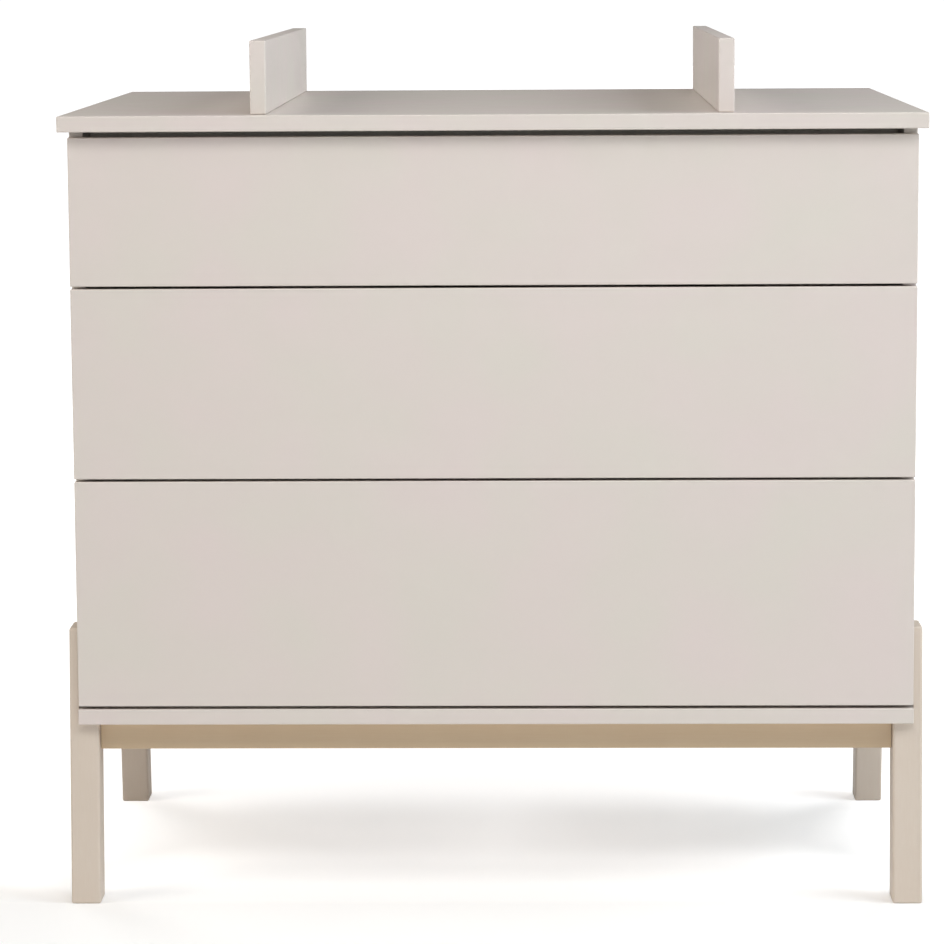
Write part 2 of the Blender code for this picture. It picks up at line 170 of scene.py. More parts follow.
# Ball slides: steel, balls and their cages, and holes as shares of a member's length
STEEL = 0.0012
BALL = 0.003
BALL_PLAY = 0.98
BALL_STEP = 0.011
RACE_INSET = 0.0026
REAR_BALLS, REAR_BALLS_START = 12, -0.16
FRONT_BALLS, FRONT_BALLS_START = 14, 0.014
CAGE_WEB = 0.001
CAGE_GAP = 0.0004
CAGE_LIP = 0.0013
CAGE_START, CAGE_END = 0.004, 0.17
MIDDLE_HOLES, MIDDLE_HOLE, MIDDLE_DRILL = (0.12, 0.5, 0.88), 0.0025, 0.03
DRAWER_HOLES, DRAWER_HOLE, DRAWER_DRILL = (0.2, 0.5, 0.8), 0.002, 0.003

# Touch latches
LATCH_ROUNDING = 0.0012
NOSE_HALF = Vector((0.003, 0.0, 0.006))
NOSE_DEPTH = 0.003

# Making: what counts as one place, one direction, a long edge and a sharp edge
MERGE = 0.00001
SAME_WAY = 0.999
LONG_EDGE = 0.1
SHARP = math.radians(40)
ROUND_SIDES = 24


def linear(hex_colour):
    """An sRGB hex colour as linear red, green, blue and full alpha."""
    channels = [int(hex_colour[i:i + 2], 16) / 255 for i in (1, 3, 5)]
    return (*[c / 12.92 if c <= 0.04045 else ((c + 0.055) / 1.055) ** 2.4 for c in channels], 1.0)


def add(tree, kind, inputs, **settings):
    """Adds a node. Each input is a value, or the socket that feeds it."""
    node = tree.nodes.new(kind)
    for name, value in settings.items():
        setattr(node, name, value)
    for key, value in inputs.items():
        if isinstance(value, bpy.types.NodeSocket):
            tree.links.new(value, node.inputs[key])
        else:
            node.inputs[key].default_value = value
    return node


# ---------------------------------------------------------------- finishes

def new_finish(name, roughness, ior=1.5, metallic=0.0):
    """A material with its tree, its shader and its Object coordinates."""
    material = bpy.data.materials.new(name)
    material.use_nodes = True
    tree = material.node_tree
    shader = tree.nodes["Principled BSDF"]
    shader.inputs["Roughness"].default_value = roughness
    shader.inputs["IOR"].default_value = ior
    shader.inputs["Metallic"].default_value = metallic
    place = add(tree, "ShaderNodeTexCoord", {}).outputs["Object"]
    return material, tree, shader, place


def dress(tree, shader, tones=None, sheen=None, relief=None):
    """Lets patterns lead a finish: two tones, a roughness from low to high, and a fine relief."""
    if tones:
        pattern, first, second = tones
        share = add(tree, "ShaderNodeMapRange", {
            0: pattern, 1: PATTERN[0], 2: PATTERN[1], 3: 0.0, 4: 1.0,
        }).outputs[0]
        tone = add(tree, "ShaderNodeMix", {
            0: share, 6: linear(first), 7: linear(second),
        }, data_type="RGBA").outputs[2]
        tree.links.new(tone, shader.inputs["Base Color"])
    if sheen:
        pattern, low, high = sheen
        rough = add(tree, "ShaderNodeMapRange", {
            0: pattern, 1: PATTERN[0], 2: PATTERN[1], 3: low, 4: high,
        }).outputs[0]
        tree.links.new(rough, shader.inputs["Roughness"])
    if relief:
        pattern, strength, height = relief
        bump = add(tree, "ShaderNodeBump", {
            "Height": pattern, "Strength": strength, "Distance": height,
        })
        tree.links.new(bump.outputs[0], shader.inputs["Normal"])


def satin_lacquer(name, colour, second, roughness):
    """Pigmented lacquer sprayed on MDF: opaque and even, with a satin sheen. It drifts very
    slightly in tone over a hand's breadth, and its faint orange peel, 1 mm in life, is drawn
    3.5 mm wide to show."""
    material, tree, shader, place = new_finish(name, roughness, ior=1.49)
    drift = add(tree, "ShaderNodeTexNoise", {
        "Vector": place, "Scale": 1 / LACQUER_DRIFT, "Detail": 2.0,
    }).outputs[0]
    haze = add(tree, "ShaderNodeTexNoise", {
        "Vector": place, "Scale": 1 / LACQUER_HAZE, "Detail": 3.0,
    }).outputs[0]
    peel = add(tree, "ShaderNodeTexNoise", {
        "Vector": place, "Scale": 1 / ORANGE_PEEL, "Detail": 1.0,
    }).outputs[0]
    dress(
        tree, shader, tones=(drift, colour, second),
        sheen=(haze, roughness - 0.03, roughness + 0.03), relief=(peel, 0.35, PEEL_HEIGHT),
    )
    return material


def lacquered_beech(name, along, colour, second):
    """The same lacquer on planed beech: its pores and long grain still show as faint lines along
    the piece, 1.6 mm apart, and it is a little browner where the wood drinks the lacquer."""
    material, tree, shader, place = new_finish(name, roughness=0.46, ior=1.49)
    stretch = [1 / GRAIN_WIDTH] * 3
    stretch[along] = 1 / GRAIN_LENGTH
    grain_place = add(tree, "ShaderNodeMapping", {"Vector": place, "Scale": stretch}).outputs[0]
    grain = add(tree, "ShaderNodeTexNoise", {
        "Vector": grain_place, "Scale": 1.0, "Detail": 3.0,
    }).outputs[0]
    drift = add(tree, "ShaderNodeTexNoise", {
        "Vector": place, "Scale": 1 / BEECH_DRIFT, "Detail": 2.0,
    }).outputs[0]
    mixed = add(tree, "ShaderNodeMath", {0: grain, 1: drift}, operation="ADD").outputs[0]
    halved = add(tree, "ShaderNodeMath", {0: mixed, 1: 0.5}, operation="MULTIPLY").outputs[0]
    dress(
        tree, shader, tones=(halved, colour, second),
        sheen=(grain, 0.42, 0.50), relief=(grain, 0.5, GRAIN_HEIGHT),
    )
    return material


def melamine_board(name, colour, second):
    """Melamine paper pressed on particle board: a dry, dull skin with a fine pearl emboss, drawn
    with cells 1.8 mm wide so that it shows."""
    material, tree, shader, place = new_finish(name, roughness=0.5, ior=1.55)
    speck = add(tree, "ShaderNodeTexNoise", {
        "Vector": place, "Scale": 1 / MELAMINE_SPECK, "Detail": 3.0,
    }).outputs[0]
    pearl = add(tree, "ShaderNodeTexVoronoi", {
        "Vector": place, "Scale": 1 / PEARL,
    }, feature="SMOOTH_F1").outputs["Distance"]
    dress(tree, shader, tones=(speck, colour, second), relief=(pearl, 0.4, PEARL_HEIGHT))
    return material


def lacquered_hardboard(name, colour, second):
    """Wood fibre pressed thin and rolled with one coat of lacquer: felted fibres show through."""
    material, tree, shader, place = new_finish(name, roughness=0.55, ior=1.49)
    fibre = add(tree, "ShaderNodeTexNoise", {
        "Vector": place, "Scale": 1 / FELT, "Detail": 5.0, "Distortion": 1.6,
    }).outputs[0]
    dress(
        tree, shader, tones=(fibre, colour, second),
        sheen=(fibre, 0.5, 0.62), relief=(fibre, 0.4, FELT_HEIGHT),
    )
    return material


def zinc_plated_steel(name, along, roughness):
    """Cold-rolled steel with a clear zinc plating: bluish, bright, with fine rolling lines."""
    material, tree, shader, place = new_finish(name, roughness, metallic=1.0)
    stretch = [1 / ROLL_LINE_WIDTH] * 3
    stretch[along] = 1 / ROLL_LINE_LENGTH
    line_place = add(tree, "ShaderNodeMapping", {"Vector": place, "Scale": stretch}).outputs[0]
    lines = add(tree, "ShaderNodeTexNoise", {
        "Vector": line_place, "Scale": 1.0, "Detail": 2.0,
    }).outputs[0]
    cloud = add(tree, "ShaderNodeTexNoise", {
        "Vector": place, "Scale": 1 / ZINC_CLOUD, "Detail": 2.0,
    }).outputs[0]
    dress(
        tree, shader, tones=(cloud, "#CBCDCF", "#C0C1C1"),
        sheen=(lines, roughness - 0.05, roughness + 0.05), relief=(lines, 0.3, ROLL_LINE_HEIGHT),
    )
    return material


def bearing_steel(name):
    """Polished chrome steel balls: a sharp mirror with the thinnest film of grease."""
    material, tree, shader, place = new_finish(name, roughness=0.12, metallic=1.0)
    film = add(tree, "ShaderNodeTexNoise", {
        "Vector": place, "Scale": 1 / GREASE_FILM, "Detail": 1.0,
    }).outputs[0]
    dress(tree, shader, sheen=(film, 0.08, 0.22))
    shader.inputs["Base Color"].default_value = linear("#D6D6D4")
    return material


def moulded_acetal(name, colour, second):
    """Acetal from a spark-eroded mould: dull grey with a fine grain."""
    material, tree, shader, place = new_finish(name, roughness=0.48, ior=1.48)
    grain = add(tree, "ShaderNodeTexNoise", {
        "Vector": place, "Scale": 1 / SPARK_GRAIN, "Detail": 2.0,
    }).outputs[0]
    dress(tree, shader, tones=(grain, colour, second), relief=(grain, 0.5, SPARK_HEIGHT))
    return material


LACQUER = satin_lacquer("satin_lacquer_on_mdf", "#D5CEC5", "#D8CCC7", roughness=0.42)
POST_LACQUER = lacquered_beech("lacquered_beech_upright", Z, "#D1C4B6", "#CEBFB0")
# The rail has the legs' lacquer, painted darker and browner: painted shade from under the chest.
SHADED_RAIL_LACQUER = lacquered_beech("lacquered_beech_rail_painted_shade", X, "#CAB394", "#C6AD8E")
MELAMINE = melamine_board("pearl_melamine_board", "#DAD2C8", "#D5CCC1")
HARDBOARD = lacquered_hardboard("lacquered_hardboard", "#D0C5B8", "#C8BBAC")
SLIDE_ZINC = zinc_plated_steel("roll_formed_zinc_steel", Y, roughness=0.3)
ANGLE_ZINC = zinc_plated_steel("pressed_zinc_steel", X, roughness=0.36)
SCREW_ZINC = zinc_plated_steel("turned_zinc_steel", Z, roughness=0.28)
BALL_STEEL = bearing_steel("polished_bearing_steel")
ACETAL = moulded_acetal("grey_moulded_acetal", "#8C8D8F", "#838486")


# ---------------------------------------------------------------- shapes

def block(low, high):
    """A plain block between two corners."""
    low = Vector(low)
    high = Vector(high)
    shape = bmesh.new()
    bmesh.ops.create_cube(shape, size=1.0)
    bmesh.ops.scale(shape, vec=high - low, verts=shape.verts)
    bmesh.ops.translate(shape, vec=(low + high) / 2, verts=shape.verts)
    return shape


def ease(shape, radius, edges=None, steps=EDGE_STEPS):
    """Rounds the edges, or only those given."""
    bmesh.ops.bevel(
        shape, geom=list(shape.edges if edges is None else edges), offset=radius, segments=steps,
        profile=0.5, affect="EDGES", material=-1,
    )


def length_of(outline, along, start, end):
    """A straight length along an axis, from an outline in the other two coordinates."""
    shape = bmesh.new()
    corners = []
    for pair in outline:
        point = list(pair)
        point.insert(along, start)
        corners.append(shape.verts.new(point))
    face = shape.faces.new(corners)
    made = bmesh.ops.extrude_face_region(shape, geom=[face])["geom"]
    far = [item for item in made if isinstance(item, bmesh.types.BMVert)]
    bmesh.ops.translate(shape, vec=ALONG[along] * (end - start), verts=far)
    bmesh.ops.recalc_face_normals(shape, faces=shape.faces)
    return shape


def grooved(outer, inner, low, high, groove_low, groove_high):
    """The outline of a board with a groove in its inner face."""
    root = inner + math.copysign(GROOVE_DEPTH, outer - inner)
    return [
        (outer, low), (outer, high), (inner, high), (inner, groove_high), (root, groove_high),
        (root, groove_low), (inner, groove_low), (inner, low),
    ]


def box_edges(shape, low, high):
    """The edges that lie on the twelve edges of a box."""
    found = []
    for edge in shape.edges:
        on = 0
        for axis in (X, Y, Z):
            ends = [corner.co[axis] for corner in edge.verts]
            on += any(
                all(abs(end - wall[axis]) < MERGE for end in ends) for wall in (low, high)
            )
        if on == 2:
            found.append(edge)
    return found


def score(shape, towards, axis, places):
    """Cuts the faces that look one way along planes across an axis, and leaves them in place."""
    for place in places:
        faces = [face for face in shape.faces if face.normal.dot(towards) > SAME_WAY]
        edges = {edge for face in faces for edge in face.edges}
        corners = {corner for face in faces for corner in face.verts}
        bmesh.ops.bisect_plane(
            shape, geom=[*faces, *edges, *corners], dist=MERGE / 10,
            plane_co=ALONG[axis] * place, plane_no=ALONG[axis],
        )


def sink(shape, towards, inside, depth):
    """Sinks the faces that look one way and whose middle is inside the given region."""
    chosen = [
        face for face in shape.faces
        if face.normal.dot(towards) > SAME_WAY and inside(face.calc_center_median())
    ]
    made = bmesh.ops.extrude_face_region(shape, geom=chosen)["geom"]
    floor = [item for item in made if isinstance(item, bmesh.types.BMVert)]
    bmesh.ops.translate(shape, vec=-depth * towards, verts=floor)
    left = [face for face in chosen if face.is_valid]
    if left:
        bmesh.ops.delete(shape, geom=left, context="FACES")


def pocket(shape, towards, low, high, depth):
    """Sinks a rectangular pocket between two corners, which are read across its depth only."""
    across = [axis for axis in (X, Y, Z) if abs(towards[axis]) < 0.5]
    for axis in across:
        score(shape, towards, axis, (low[axis], high[axis]))
    sink(shape, towards, lambda point: all(low[a] < point[a] < high[a] for a in across), depth)


def as_mesh(shape, name):
    """The shape as a mesh."""
    mesh = bpy.data.meshes.new(name)
    shape.to_mesh(mesh)
    shape.free()
    return mesh


def placed(name, data):
    """An object in the scene, from a mesh, a light or a camera."""
    thing = bpy.data.objects.new(name, data)
    bpy.context.scene.collection.objects.link(thing)
    return thing


def finished(shape, name, material, body, nodes=()):
    """Makes the shape a piece that moves with a body and stands for its CAD nodes."""
    mesh = as_mesh(shape, name)
    mesh.materials.append(material)
    mesh.shade_smooth()
    mesh.set_sharp_from_angle(angle=SHARP)
    piece = placed(name, mesh)
    flat = piece.modifiers.new("flats_stay_flat", "WEIGHTED_NORMAL")
    flat.keep_sharp = True
    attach(piece, body)
    if nodes:
        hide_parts(*nodes)
    return piece


def board(name, node, material, body, edge=FACE_EDGE, steps=EDGE_STEPS):
    """A board with rounded edges, where its node is."""
    shape = block(*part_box(node))
    ease(shape, edge, steps=steps)
    finished(shape, name, material, body, [node])


def drill(piece, centre, radius, length, axis):
    """Drills a finished piece with a cylinder along an axis."""
    shape = bmesh.new()
    bmesh.ops.create_cone(
        shape, cap_ends=True, segments=ROUND_SIDES, radius1=radius, radius2=radius, depth=length,
        matrix=ALONG[Z].rotation_difference(ALONG[axis]).to_matrix().to_4x4(),
    )
    bmesh.ops.translate(shape, vec=centre, verts=shape.verts)
    bit = placed("drill", as_mesh(shape, "drill"))
    hole = piece.modifiers.new("hole", "BOOLEAN")
    hole.object = bit
    hole.solver = "EXACT"
    piece.modifiers.move(len(piece.modifiers) - 1, 0)
    for modifier in list(piece.modifiers)[1:]:
        modifier.show_viewport = False
    evaluated = piece.evaluated_get(bpy.context.evaluated_depsgraph_get())
    drilled = bpy.data.meshes.new_from_object(evaluated)
    piece.modifiers.remove(hole)
    for modifier in piece.modifiers:
        modifier.show_viewport = True
    drilled.name = piece.name
    piece.data = drilled
    bpy.data.objects.remove(bit)


# ---------------------------------------------------------------- screws

def screw_head(radius, height):
    """A pan head with a cross recess, standing on Z = 0 and pointing up."""
    shape = bmesh.new()
    bmesh.ops.create_cone(
        shape, cap_ends=True, segments=ROUND_SIDES, radius1=radius, radius2=radius * HEAD_TAPER,
        depth=height,
    )
    bmesh.ops.translate(shape, vec=(0, 0, height / 2), verts=shape.verts)
    rim = [
        edge for edge in shape.edges if all(point.co.z > height * 0.9 for point in edge.verts)
    ]
    ease(shape, height * HEAD_ROUNDING, rim, steps=3)
    arm = radius * CROSS_REACH
    slot = radius * CROSS_WIDTH
    for axis in (X, Y):
        score(shape, ALONG[Z], axis, (-arm, -slot, slot, arm))

    def in_cross(point):
        return max(abs(point.x), abs(point.y)) < arm and min(abs(point.x), abs(point.y)) < slot

    sink(shape, ALONG[Z], in_cross, height * CROSS_DEPTH)
    return as_mesh(shape, "screw_head")


SLIDE_SCREW = screw_head(*SLIDE_SCREW_SIZE)
WOOD_SCREW = screw_head(*WOOD_SCREW_SIZE)
PANEL_PIN = screw_head(*PANEL_PIN_SIZE)


def fastened(name, head, places, towards, body):
    """Copies of a screw head, one at each place, all facing the same way, as one piece. Each is
    turned further than the last, as driven screws are."""
    turn = ALONG[Z].rotation_difference(Vector(towards)).to_matrix().to_4x4()
    shape = bmesh.new()
    for number, place in enumerate(places):
        spin = Matrix.Rotation(math.radians(NEXT_TURN * number + FIRST_TURN), 4, "Z")
        start = len(shape.verts)
        shape.from_mesh(head)
        shape.verts.ensure_lookup_table()
        bmesh.ops.transform(
            shape, matrix=Matrix.Translation(place) @ turn @ spin, verts=shape.verts[start:],
        )
    finished(shape, name, SCREW_ZINC, body)


# ---------------------------------------------------------------- top and guards

def make_top():
    """The top, the two guards on it and the screws that hold them from below."""
    board("lacquered_top", "top_board", LACQUER, "chassis")
    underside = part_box("top_board")[0].z
    for word, _ in SIDES:
        board(f"mat_guard_{word}", f"barrier_{word}", LACQUER, "chassis")
        first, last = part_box(f"barrier_{word}")
        middle = (first.x + last.x) / 2
        depth = last.y - first.y
        places = [(middle, first.y + share * depth, underside) for share in GUARD_SCREWS]
        fastened(
            f"guard_screws_{word}", WOOD_SCREW, places, (0, 0, -1), "chassis",
        )


# ---------------------------------------------------------------- chest

def make_chest():
    """The floor, the sides, the back in their grooves and the stretchers under the top."""
    low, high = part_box("bottom_panel")
    back_low, back_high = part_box("back_panel")
    shape = block(low, high)
    ease(shape, FACE_EDGE)
    play = Vector((GROOVE_PLAY,) * 3)
    pocket(shape, ALONG[Z], back_low - play, back_high + play, GROOVE_DEPTH)
    finished(shape, "chest_floor", LACQUER, "chassis", ["bottom_panel"])
    for word, side in SIDES:
        make_chest_side(word, side, back_low.y - GROOVE_PLAY, back_high.y + GROOVE_PLAY)
    board(
        "chest_back", "back_panel", HARDBOARD, "chassis", HIDDEN_EDGE, steps=2,
    )
    for end in ENDS:
        board(
            f"top_stretcher_{end}", f"stretcher_{end}", MELAMINE, "chassis",
            HIDDEN_EDGE, steps=2,
        )
    rail_z = (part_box("stretcher_rear")[0].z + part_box("stretcher_rear")[1].z) / 2
    reach = back_high.x - PIN_EDGE
    half = (PIN_COUNT - 1) / 2
    pins = [(reach * (step / half - 1), back_high.y, rail_z) for step in range(PIN_COUNT)]
    fastened("back_pins", PANEL_PIN, pins, (0, 1, 0), "chassis")


def make_chest_side(word, side, groove_front, groove_rear):
    """A side panel. Its groove for the back runs out at both ends, and two bolts go through it."""
    low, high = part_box(f"side_panel_{word}")
    inner, outer = (high.x, low.x) if side < 0 else (low.x, high.x)
    outline = grooved(outer, inner, low.y, high.y, groove_front, groove_rear)
    shape = length_of(outline, Z, low.z, high.z)
    ease(shape, FACE_EDGE, box_edges(shape, low, high))
    panel = finished(
        shape, f"chest_side_{word}", LACQUER, "chassis",
        [f"side_panel_{word}"],
    )
    for end in ENDS:
        first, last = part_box(f"leg_bolt_{end}_{word}")
        centre = (first + last) / 2
        drill(panel, (inner, centre.y, centre.z), BOLT_HOLE, THROUGH_DRILL, X)


# ---------------------------------------------------------------- legs

def make_leg(end, word, side):
    """A leaning leg. Its post carries the chest on a shoulder, and a thin cheek rises beside it."""
    low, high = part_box(f"leg_{end}_{word}")
    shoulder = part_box(f"rail_{end}")[1].z
    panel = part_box(f"side_panel_{word}")
    wall = panel[0].x - BOARD_GAP if side < 0 else panel[1].x + BOARD_GAP
    slope = math.tan(LEG_LEAN) * (1 if end == "rear" else -1)
    depth = high.y - low.y - abs(slope) * (high.z - low.z)
    shape = bmesh.new()
    bmesh.ops.create_cube(shape, size=1.0)
    bmesh.ops.scale(shape, vec=(high.x - low.x, depth, high.z), verts=shape.verts)
    bmesh.ops.translate(shape, vec=(0, 0, high.z / 2), verts=shape.verts)
    upper = [
        edge for edge in shape.edges if any(point.co.z > high.z / 2 for point in edge.verts)
    ]
    ease(shape, LEG_ROUNDING, upper, steps=6)
    sole = [edge for edge in shape.edges if all(point.co.z < MERGE for point in edge.verts)]
    ease(shape, FOOT_ROUNDING, sole, steps=3)
    lean = Matrix.Identity(4)
    lean[1][2] = -slope
    bmesh.ops.transform(shape, matrix=lean, verts=shape.verts)
    foot_y = low.y + depth / 2 if end == "front" else high.y - depth / 2
    bmesh.ops.translate(shape, vec=((low.x + high.x) / 2, foot_y, 0), verts=shape.verts)
    for place, axis in ((shoulder, Z), (wall, X)):
        bmesh.ops.bisect_plane(
            shape, geom=[*shape.faces, *shape.edges, *shape.verts], dist=MERGE / 10,
            plane_co=ALONG[axis] * place, plane_no=ALONG[axis],
        )
    notch = []
    for face in shape.faces:
        middle = face.calc_center_median()
        if middle.z > shoulder and side * middle.x < side * wall:
            notch.append(face)
    bmesh.ops.delete(shape, geom=notch, context="FACES")
    corner = [
        point for point in shape.verts
        if abs(point.co.x - wall) < MERGE and abs(point.co.z - shoulder) < MERGE
    ]
    bmesh.ops.contextual_create(shape, geom=corner)
    rim = [edge for edge in shape.edges if len(edge.link_faces) < 2]
    bmesh.ops.edgenet_fill(shape, edges=rim)
    bmesh.ops.recalc_face_normals(shape, faces=shape.faces)
    leg = finished(
        shape, f"leg_post_{end}_{word}", POST_LACQUER, "chassis",
        [f"leg_{end}_{word}"],
    )
    first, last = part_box(f"leg_bolt_{end}_{word}")
    centre = (first + last) / 2
    tip = first.x if side < 0 else last.x
    bottom = tip + side * BOARD_GAP
    drill(
        leg, (bottom - side * BOLT_HOLE_DEPTH / 2, centre.y, centre.z), BOLT_HOLE,
        BOLT_HOLE_DEPTH, X,
    )


def make_leg_bolt(end, word, side):
    """A zinc-plated bolt with a low round head, from inside the chest into the leg's cheek."""
    low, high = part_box(f"leg_bolt_{end}_{word}")
    centre = (low + high) / 2
    radius = (high.z - low.z) / 2
    crown, tip = (high.x, low.x) if side < 0 else (low.x, high.x)
    length = abs(tip - crown)
    point_in, point_down = BOLT_POINT
    shape = bmesh.new()
    outline = [
        (length, 0.0), (length, BOLT_SHANK - point_down), (length - point_in, BOLT_SHANK),
        (BOLT_HEAD, BOLT_SHANK), (BOLT_HEAD, radius),
        *[(along, radius - inward) for along, inward in HEAD_EDGE], (0.0, 0.0),
    ]
    points = [shape.verts.new((along, out, 0.0)) for along, out in outline]
    edges = [shape.edges.new(pair) for pair in zip(points, points[1:])]
    bmesh.ops.spin(
        shape, geom=points + edges, cent=(0, 0, 0), axis=(1, 0, 0), angle=2 * math.pi, steps=32,
        use_merge=True,
    )
    bmesh.ops.remove_doubles(shape, verts=shape.verts, dist=MERGE)
    bmesh.ops.scale(shape, vec=(side, 1, 1), verts=shape.verts)
    bmesh.ops.translate(shape, vec=(crown, centre.y, centre.z), verts=shape.verts)
    bmesh.ops.recalc_face_normals(shape, faces=shape.faces)
    finished(
        shape, f"cap_bolt_{end}_{word}", SCREW_ZINC, "chassis",
        [f"leg_bolt_{end}_{word}"],
    )


def make_stand():
    """The four legs with their bolts, and the rail between each pair."""
    for end in ENDS:
        for word, side in SIDES:
            make_leg(end, word, side)
            make_leg_bolt(end, word, side)
        # The rail's lacquer carries painted shade.
        board(
            f"leg_rail_{end}", f"rail_{end}", SHADED_RAIL_LACQUER, "chassis",
            HIDDEN_EDGE, steps=3,
        )


def make_wall_angle():
    """The anti-tip angle: bent plate with two holes in each flange, screwed up into the top."""
    low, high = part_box("wall_bracket")
    outline = [
        (low.y, high.z - ANGLE_PLATE), (low.y, high.z), (high.y, high.z), (high.y, low.z),
        (high.y - ANGLE_PLATE, low.z), (high.y - ANGLE_PLATE, high.z - ANGLE_PLATE),
    ]
    shape = length_of(outline, X, low.x, high.x)
    bend = [
        edge for edge in shape.edges
        if abs(edge.verts[0].co.x - edge.verts[1].co.x) > LONG_EDGE
        and all(
            point.co.y > high.y - MERGE and point.co.z > high.z - MERGE for point in edge.verts
        )
    ]
    ease(shape, ANGLE_PLATE, bend, steps=6)
    angle = finished(
        shape, "wall_angle", ANGLE_ZINC, "chassis", ["wall_bracket"],
    )
    places = []
    for _, side in SIDES:
        x = side * ANGLE_HOLE_SIDE
        drill(angle, (x, high.y, high.z - ANGLE_HOLE_IN), ANGLE_HOLE, ANGLE_DRILL, Y)
        drill(angle, (x, high.y - ANGLE_HOLE_IN, high.z), ANGLE_HOLE, ANGLE_DRILL, Z)
        places.append((x, high.y - ANGLE_HOLE_IN, high.z - ANGLE_PLATE))
    fastened("angle_screws", WOOD_SCREW, places, (0, 0, -1), "chassis")


# ---------------------------------------------------------------- drawers

def make_drawer(number):
    """A drawer: a lacquered face, two walls and an end, and a base in the groove round them."""
    body = f"drawer_{number}"
    play = Vector((GROOVE_PLAY,) * 3)
    base_low, base_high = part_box(f"{body}_base")
    groove_low = base_low - play
    groove_high = base_high + play
    shape = block(*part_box(f"{body}_front"))
    ease(shape, FACE_EDGE)
    pocket(shape, ALONG[Y], groove_low, groove_high, GROOVE_DEPTH)
    finished(shape, f"{body}_face", LACQUER, body, [f"{body}_front"])
    for word, side in SIDES:
        low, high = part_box(f"{body}_side_{word}")
        inner, outer = (high.x, low.x) if side < 0 else (low.x, high.x)
        outline = grooved(outer, inner, low.z, high.z, groove_low.z, groove_high.z)
        shape = length_of(outline, Y, low.y, high.y)
        ease(shape, HIDDEN_EDGE, box_edges(shape, low, high), steps=3)
        finished(
            shape, f"{body}_wall_{word}", MELAMINE, body,
            [f"{body}_side_{word}"],
        )
    low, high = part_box(f"{body}_back")
    outline = grooved(high.y, low.y, low.z, high.z, groove_low.z, groove_high.z)
    shape = length_of(outline, X, low.x, high.x)
    ease(shape, HIDDEN_EDGE, box_edges(shape, low, high), steps=3)
    finished(shape, f"{body}_end", MELAMINE, body, [f"{body}_back"])
    board(f"{body}_bottom", f"{body}_base", HARDBOARD, body, HIDDEN_EDGE, steps=2)


# ---------------------------------------------------------------- ball slides

def channel(name, node, mouth, body):
    """A roll-formed strip, open towards +X or -X, with round bends."""
    low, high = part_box(node)
    back, lip = (low.x, high.x) if mouth > 0 else (high.x, low.x)
    web = back + mouth * STEEL
    floor, roof = low.z + STEEL, high.z - STEEL
    outline = [
        (back, low.z), (lip, low.z), (lip, floor), (web, floor),
        (web, roof), (lip, roof), (lip, high.z), (back, high.z),
    ]
    shape = length_of(outline, Y, low.y, high.y)

    def long_edges(x, heights):
        """The edges that run the length of the strip at one X, at any of the heights."""
        return [
            edge for edge in shape.edges
            if abs(edge.verts[0].co.y - edge.verts[1].co.y) > LONG_EDGE
            and all(abs(point.co.x - x) < MERGE for point in edge.verts)
            and all(
                min(abs(point.co.z - z) for z in heights) < MERGE for point in edge.verts
            )
        ]

    ease(shape, STEEL, long_edges(back, (low.z, high.z)), steps=4)
    ease(shape, STEEL / 3, long_edges(web, (floor, roof)), steps=2)
    return finished(shape, name, SLIDE_ZINC, body, [node])


def race_places(node, other):
    """Heights of the two ball races between a channel and the one inside it."""
    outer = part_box(node)
    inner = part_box(other)
    return (
        (outer[0].z + STEEL + inner[0].z) / 2,
        (outer[1].z - STEEL + inner[1].z) / 2,
    )


def make_balls(name, x, heights, start, count, body):
    """Two rows of balls, 3 mm across, one above the other."""
    shape = bmesh.new()
    for height in heights:
        for step in range(count):
            bmesh.ops.create_uvsphere(
                shape, u_segments=10, v_segments=6, radius=BALL / 2 * BALL_PLAY,
                matrix=Matrix.Translation((x, start + step * BALL_STEP, height)),
            )
    finished(shape, name, BALL_STEEL, body)


def make_cage(name, inner, outer, heights, lip, start, end, body):
    """The acetal strip that spaces the balls, with a lip along each row of them."""
    bottom, top = heights
    rim = CAGE_WEB / 2
    outline = [
        (lip, bottom - rim), (outer, bottom - rim), (outer, top + rim), (lip, top + rim),
        (lip, top - rim), (inner, top - rim), (inner, bottom + rim), (lip, bottom + rim),
    ]
    shape = length_of(outline, Y, start, end)
    ease(shape, CAGE_WEB / 6, steps=1)
    finished(shape, name, ACETAL, body)


